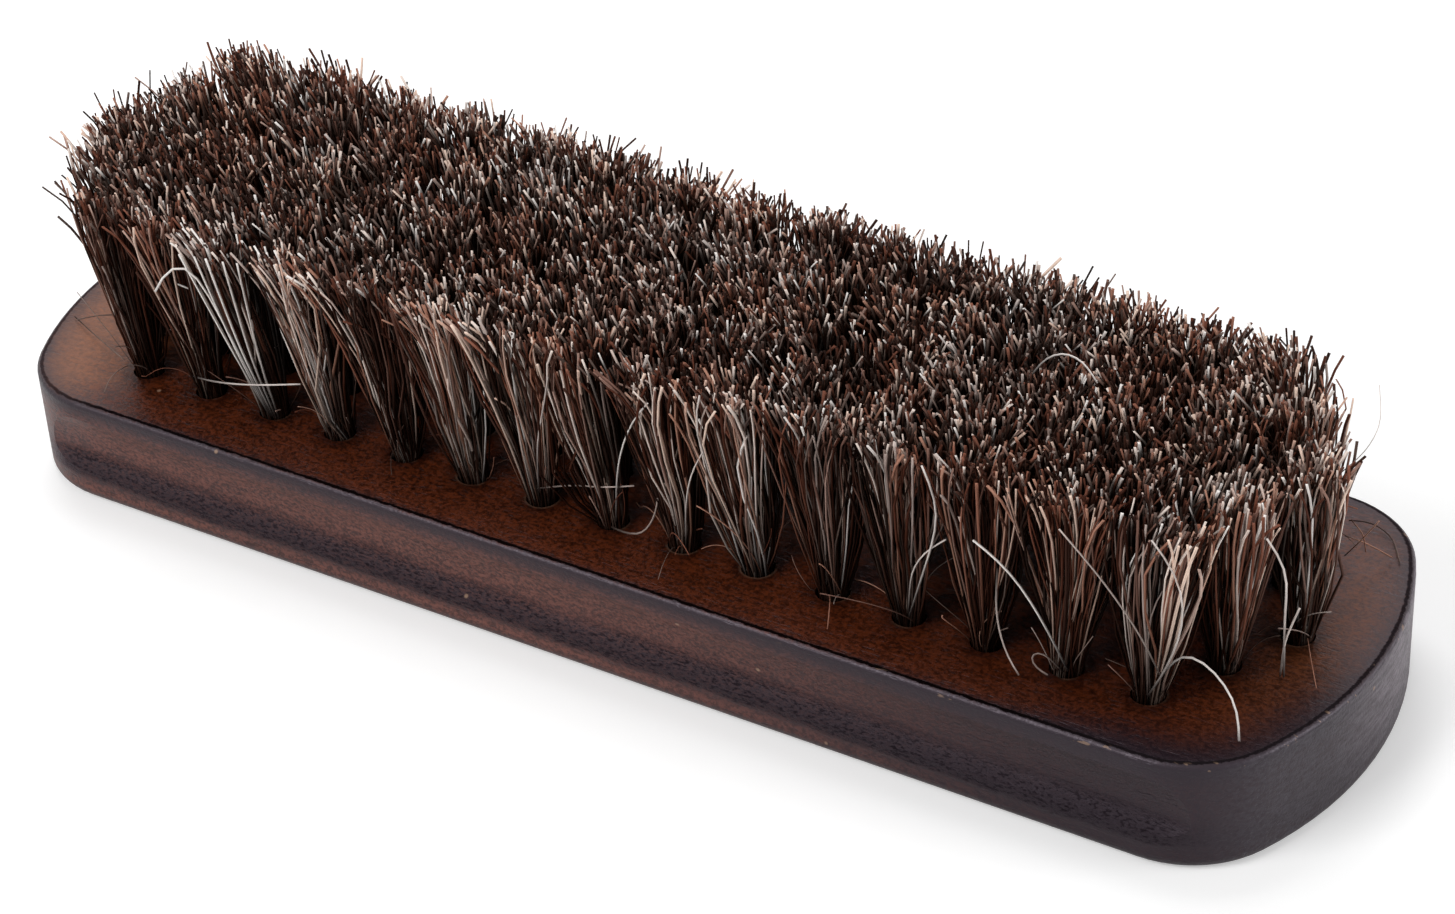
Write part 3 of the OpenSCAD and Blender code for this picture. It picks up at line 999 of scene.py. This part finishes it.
def picked_kinds(random, tuft, lock, outside):
    """Kind of each hair, where 0 is grey and the last is auburn: a part each for its tuft,
    for its lock and for itself, spread out about a half and cut into equal steps."""
    of_tuft = random.uniform(0, 1, tuft.max() + 1)[tuft]
    of_lock = random.uniform(0, 1, (tuft.max() + 1) * LOCKS_A_TUFT)[lock]
    own = random.uniform(0, 1, len(tuft))
    redness = 0.5 + 1.6 * (0.16 * of_tuft + 0.42 * of_lock + 0.42 * own - 0.5)
    redness += 0.12 * outside
    return np.floor(np.clip(redness, 0, 0.999) * KINDS).astype(int)


print("a chart half has", SHADES, "columns")

# %% [markdown]
# ## The five rows of tufts
# Each row is one piece, as it is one node in the CAD model, whose strands it replaces. Hair
# thickness varies as horsehair does, with more thin hairs than thick ones. A tube is a
# little thinner in the hole, where the hair is packed, than higher up.

# %% Rows of tufts
TAPER = np.concatenate([np.full(IN_HOLE, 0.85), 0.85 + 0.2 * np.minimum(ABOVE * 3, 1)])


def add_hair_piece(name, paths, radius, column, free_from):
    """One named piece of hair: its mesh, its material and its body."""
    mesh = tube_mesh(name, paths, radius, column, free_from)
    piece = bpy.data.objects.new(name, mesh)
    bpy.context.scene.collection.objects.link(piece)
    mesh.materials.append(hair)
    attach(piece, "root")
    print(name, "has", len(paths), "hairs and", len(mesh.polygons), "faces")
    return piece


random = np.random.default_rng(41)
for row in range(HOLE_ROWS):
    paths, tuft, lock, outside = hair_paths(random, hole_centres(row))
    thick = HAIR_RADIUS[0] + np.ptp(HAIR_RADIUS) * random.uniform(0, 1, len(paths)) ** 1.5
    shades = picked_shades(random, tuft, lock, outside)
    kinds = picked_kinds(random, tuft, lock, outside)
    column = chart_column(shades, kinds) + SHADES * outside
    name = f"horsehair_row_{row + 1}"
    piece = add_hair_piece(name, paths, thick[:, None] * TAPER, column, IN_HOLE)
    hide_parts(f"tuft_row_{row + 1}")

# %% [markdown]
# ## Loose hairs
# A used brush is never tidy: some hairs have sprung out of their tuft, some have curled over
# the wood, and a few lie loose. The ones that the photograph shows best are listed one by one.
# Each has its shade, its radius and a few points, and a soft curve goes near the points.

# %% Listed strays
STRAY_POINTS = 12
STRAYS = [
    (0.90, 0.11, [(-58.0, -17.6, 16.4), (-52.6, -19.3, 18.1), (-46.5, -19.4, 19.7),
                  (-40.2, -19.2, 21.7)]),
    (0.99, 0.16, [(-46.4, -17.8, 14.5), (-48.4, -19.6, 23.6), (-53.0, -20.5, 36.0),
                  (-55.6, -20.6, 35.2), (-58.2, -20.6, 31.6), (-59.0, -20.5, 29.6)]),
    (0.97, 0.17, [(-46.0, -17.9, 14.5), (-48.0, -19.6, 23.8), (-50.6, -20.5, 36.4)]),
    (0.98, 0.16, [(-46.9, -17.7, 14.5), (-49.6, -19.6, 24.0), (-54.6, -20.4, 35.8)]),
    (0.96, 0.15, [(-45.7, -17.9, 14.5), (-46.9, -19.5, 23.5), (-48.2, -20.4, 36.6)]),
    (0.99, 0.15, [(-46.6, -17.9, 14.5), (-49.0, -19.7, 24.5), (-52.2, -20.6, 36.3)]),
    (0.95, 0.14, [(-45.4, -17.8, 14.5), (-45.9, -19.3, 24.0), (-46.2, -20.3, 36.9)]),
    (0.74, 0.13, [(1.0, -18.0, 14.6), (3.2, -18.5, 14.7), (5.6, -18.6, 15.4),
                  (7.4, -18.5, 18.6), (7.6, -18.2, 20.8)]),
    (0.96, 0.12, [(1.6, -17.9, 15.5), (3.0, -19.3, 22.0), (3.8, -19.6, 26.0),
                  (6.0, -19.6, 31.8), (8.1, -19.5, 34.3)]),
    (0.88, 0.11, [(10.6, -17.8, 15.0), (12.0, -19.4, 22.2), (13.0, -19.6, 26.8),
                  (14.8, -19.4, 30.2)]),
    (0.80, 0.10, [(-9.2, -17.6, 16.2), (-3.8, -17.9, 18.7), (0.4, -17.8, 19.6),
                  (4.1, -17.5, 20.9)]),
    (0.85, 0.12, [(-8.6, -18.0, 16.0), (-7.2, -19.4, 24.2), (-5.6, -19.6, 29.8),
                  (-4.8, -19.5, 33.7)]),
    (0.72, 0.12, [(57.0, -18.0, 14.8), (55.1, -18.7, 17.2), (53.5, -18.8, 16.8),
                  (53.9, -18.8, 14.9), (55.6, -18.7, 14.4)]),
    (0.99, 0.16, [(57.4, -17.8, 15.0), (56.2, -19.8, 21.0), (53.4, -20.2, 26.0),
                  (50.1, -20.1, 29.0), (47.6, -20.0, 29.9)]),
    (0.82, 0.12, [(49.6, -18.4, 26.0), (49.9, -19.5, 21.6), (50.6, -19.5, 17.5),
                  (51.8, -19.6, 15.0), (52.9, -20.0, 14.3)]),
    (0.84, 0.12, [(68.4, -18.4, 18.5), (66.6, -19.9, 24.6), (62.4, -20.0, 30.0),
                  (57.4, -19.9, 34.6)]),
    (0.90, 0.13, [(66.8, -18.2, 15.4), (69.4, -19.6, 20.6), (71.5, -20.0, 27.0),
                  (71.3, -20.0, 33.0), (67.6, -19.8, 36.6)]),
    (0.94, 0.14, [(68.0, -17.4, 18.0), (70.8, -18.4, 23.2), (73.8, -18.6, 22.6),
                  (77.2, -18.6, 18.6), (77.6, -19.2, 14.4)]),
    (0.90, 0.14, [(78.0, -9.5, 16.0), (79.4, -13.4, 28.7), (80.0, -14.0, 33.6),
                  (77.3, -13.8, 36.2)]),
    (0.86, 0.13, [(77.4, -9.0, 15.5), (78.8, -11.6, 22.5), (80.5, -12.2, 27.6)]),
    (0.88, 0.11, [(38.6, -18.0, 16.0), (39.6, -18.9, 22.6), (41.4, -19.1, 25.8),
                  (43.9, -19.0, 28.1)]),
    (0.92, 0.14, [(38.4, -17.6, 15.0), (42.4, -19.3, 27.0), (43.7, -19.6, 32.6),
                  (41.4, -19.4, 36.9)]),
    (0.62, 0.09, [(72.5, 19.8, 15.2), (74.2, 21.7, 14.5), (77.4, 20.4, 14.4),
                  (79.9, 16.4, 14.3)]),
    (0.60, 0.09, [(-81.3, -11.5, 14.4), (-76.2, -13.9, 14.7), (-68.7, -17.4, 15.4)]),
    (0.95, 0.12, [(43.5, 0.5, 36.5), (44.2, 2.0, 38.2), (45.9, 3.3, 39.0),
                  (48.7, 2.9, 38.8), (50.6, 2.2, 37.0)]),
    (0.93, 0.06, [(78.6, 1.7, 35.0), (80.4, 3.4, 37.0), (80.9, 5.9, 39.0),
                  (78.9, 9.7, 41.0)]),
]
RED_STRAYS = [
    (0.84, 0.09, [(74.6, 13.9, 15.0), (77.3, 11.6, 19.5), (79.8, 9.8, 24.0)]),
    (0.76, 0.09, [(76.2, 9.6, 21.0), (76.9, 13.9, 17.5), (78.9, 16.6, 14.5)]),
    (0.80, 0.08, [(78.2, 6.1, 26.0), (77.4, 11.9, 20.0), (76.8, 14.3, 16.0)]),
]


def smooth_path(points):
    """A soft curve near hand-placed points: equal steps along the broken line through them,
    then each inner point moves half way to the middle of its neighbours, three times."""
    points = np.array(points)
    walked = np.concatenate([[0], np.cumsum(np.linalg.norm(np.diff(points, axis=0), axis=1))])
    at = np.linspace(0, walked[-1], STRAY_POINTS)
    path = np.column_stack([np.interp(at, walked, points[:, axis]) for axis in range(3)])
    for _ in range(3):
        path[1:-1] += 0.5 * ((path[:-2] + path[2:]) / 2 - path[1:-1])
    return path


by_hand = STRAYS + RED_STRAYS
placed = np.stack([smooth_path(points) for _, _, points in by_hand])
placed_shades = [shade for shade, _, _ in by_hand]
placed_radius = [radius for _, radius, _ in by_hand]
placed_kinds = np.repeat([0, KINDS - 1], [len(STRAYS), len(RED_STRAYS)])
print("placed by hand:", len(by_hand))

# %% [markdown]
# The rest of the loose hairs are grown. Each starts at a hole near the edge of the brush and
# goes on in equal steps. Its heading and its tilt from upright both drift evenly from step
# to step, so it curls over. Points that would be in the wood are lifted just above it.

# %% Grown strays
STRAYS_A_HOLE = 5
AT_THE_ENDS = 66.0
LIFT = 0.25


def drifting(start, drift, steps):
    """Angles that run evenly, over the steps, from the start by the whole drift."""
    return start[:, None] + drift[:, None] * np.linspace(0, 1, steps)


def curled_paths(random, feet):
    """Sum of steps whose direction has a drifting heading and a drifting tilt."""
    count, steps = len(feet), STRAY_POINTS - 1
    length = random.uniform(4, 13, count)
    heading = drifting(random.uniform(0, 2 * np.pi, count), random.normal(0, 0.9, count), steps)
    tilt = drifting(random.uniform(0.15, 0.8, count), random.normal(0.5, 0.9, count), steps)
    aside = np.sin(tilt)
    direction = np.dstack([aside * np.cos(heading), aside * np.sin(heading), np.cos(tilt)])
    step = (length / steps)[:, None, None] * direction
    start = np.column_stack([feet, np.full(count, BLOCK_TOP - 0.5)])
    paths = start[:, None] + np.concatenate([np.zeros((count, 1, 3)), np.cumsum(step, axis=1)], 1)
    paths[:, 1:, 2] = np.maximum(paths[:, 1:, 2], BLOCK_TOP + LIFT)
    return paths


all_holes = np.concatenate([hole_centres(row) for row in range(HOLE_ROWS)])
outer = np.abs(all_holes[:, 1]) > -FRONT_LINE
outer |= np.abs(all_holes[:, 0]) > AT_THE_ENDS
feet = np.repeat(all_holes[outer], STRAYS_A_HOLE, axis=0)
feet = feet + unit_disc(random, len(feet)) * PACKED_TO
grown = curled_paths(random, feet)
radius = np.concatenate([placed_radius, random.uniform(0.05, 0.09, len(grown))])
shades = np.concatenate([placed_shades, random.uniform(0.40, 0.84, len(grown))])
kinds = np.concatenate([placed_kinds, random.choice(KINDS, len(grown))])
paths = np.concatenate([placed, grown])
column = chart_column(shades, kinds) + SHADES
add_hair_piece("loose_hairs", paths, radius[:, None] * np.ones(STRAY_POINTS), column, 0)

# %% [markdown]
# ## Floor, light and camera
# The photograph is a cut-out on white, taken in even white light. The floor stands in for
# the white ground. It is matt and keeps a soft shadow. For the camera it also glows, more
# with the distance, so that it turns white away from the brush. Mirrored in the lacquer it
# glows only a little.

# %% Floor
SPAN = 3.0
GLOW_NEAR = 0.36
GLOW_MORE = 0.42
GLOW_MIRRORED = 0.08
corners = [(-SPAN, -SPAN, 0.0), (SPAN, -SPAN, 0.0), (SPAN, SPAN, 0.0), (-SPAN, SPAN, 0.0)]
floor_mesh = bpy.data.meshes.new("floor")
floor_mesh.from_pydata(corners, [], [(0, 1, 2, 3)])
floor = bpy.data.objects.new("floor", floor_mesh)
bpy.context.scene.collection.objects.link(floor)
floor_paint = bpy.data.materials.new("floor_paint")
floor_paint.use_nodes = True
tree = floor_paint.node_tree
tree.nodes.clear()
rays = add_node(tree, "ShaderNodeLightPath").outputs
floor_place = add_node(tree, "ShaderNodeTexCoord").outputs["Object"]
measure = add_node(tree, "ShaderNodeVectorMath", {0: floor_place}, operation="LENGTH")
far_off = smooth_step(tree, measure.outputs["Value"], 0.3, 1.3)
to_camera = times(tree, rays["Is Camera Ray"], scaled(tree, far_off, GLOW_MORE, GLOW_NEAR))
mirrored = maths(tree, "MAXIMUM", rays["Is Glossy Ray"], rays["Is Transmission Ray"])
glow_level = scaled(tree, mirrored, GLOW_MIRRORED, to_camera)
matt = add_node(tree, "ShaderNodeBsdfDiffuse", {"Color": rgb(0.82, 0.82, 0.82)})
glow = add_node(tree, "ShaderNodeEmission", {"Color": rgb(1.0, 1.0, 1.0), "Strength": glow_level})
both = add_node(tree, "ShaderNodeAddShader", {0: matt.outputs[0], 1: glow.outputs[0]})
add_node(tree, "ShaderNodeOutputMaterial", {"Surface": both.outputs[0]})
floor_mesh.materials.append(floor_paint)
print("floor is", 2 * SPAN, "m wide")

# %% [markdown]
# The surroundings are a white room. The camera and mirroring surfaces see it full white, but
# it lights the brush with less than a third of that, so that the lamps can shape the forms.

# %% White room
ROOM_LEVEL = 0.30
world = bpy.data.worlds.new("white_room")
bpy.context.scene.world = world
world.use_nodes = True
tree = world.node_tree
background = next(n for n in tree.nodes if n.type == "BACKGROUND")
rays = add_node(tree, "ShaderNodeLightPath").outputs
seen = maths(tree, "MAXIMUM", rays["Is Camera Ray"], rays["Is Glossy Ray"])
seen = maths(tree, "MAXIMUM", seen, rays["Is Transmission Ray"])
room_light = scaled(tree, seen, 1 - ROOM_LEVEL, ROOM_LEVEL)
tree.links.new(room_light, background.inputs["Strength"])
background.inputs["Color"].default_value = rgb(1.0, 1.0, 1.0)
print("room level:", ROOM_LEVEL)

# %% [markdown]
# Three broad square lamps do the rest. The strongest stands at the front left and opens the
# shadows between the tufts. One above and behind lights the tips and the top of the block.
# A low one off the right end puts the gloss on the end of the block.

# %% Lamps
LAMP_WIDTH = 0.5


def add_lamp(name, place, aim, power):
    """A square soft lamp at a place, turned so that its face looks at the aim."""
    lamp = bpy.data.lights.new(name, "AREA")
    lamp.size = LAMP_WIDTH
    lamp.energy = power
    holder = bpy.data.objects.new(name, lamp)
    bpy.context.scene.collection.objects.link(holder)
    holder.location = place
    holder.rotation_euler = (Vector(aim) - Vector(place)).to_track_quat("-Z", "Y").to_euler()
    return holder


add_lamp("overhead_lamp", (-0.30, 0.34, 0.95), (0, 0, 0.02), 4.0)
add_lamp("front_lamp", (-0.35, -0.68, 0.75), (0, 0, 0.02), 5.4)
add_lamp("end_lamp", (0.95, 0.30, 0.32), (0.08, 0, 0.02), 3.6)
bpy.context.scene.view_settings.view_transform = "Standard"

# %% [markdown]
# The camera stands where the photograph was taken from. Its place and directions were found
# by fitting the block's outline and the even steps of the front row of holes.

# %% Camera
PHOTO_WIDTH = 1455
FOCAL_PIXELS = 3741.0
SHIFT_PIXELS = (36.16, 18.04)
SENSOR_WIDTH = 36.0
EYE = Vector((196.20, -292.09, 257.76)) * MM
RIGHT = Vector((0.84911792, 0.52555585, -0.05281865))
UP = Vector((-0.26672342, 0.51293578, 0.81593842))
BACK = Vector((0.45591379, -0.67873996, 0.57572101))
lens = bpy.data.cameras.new("photo_camera")
lens.sensor_width = SENSOR_WIDTH
lens.lens = FOCAL_PIXELS * SENSOR_WIDTH / PHOTO_WIDTH
lens.shift_x, lens.shift_y = (pixels / PHOTO_WIDTH for pixels in SHIFT_PIXELS)
lens.clip_start, lens.clip_end = 0.01, 20.0
camera = bpy.data.objects.new("photo_camera", lens)
bpy.context.scene.collection.objects.link(camera)
turn = Matrix((RIGHT, UP, BACK)).transposed().to_4x4()
camera.matrix_world = Matrix.Translation(EYE) @ turn
bpy.context.scene.camera = camera
print("lens:", round(lens.lens, 2), "mm")
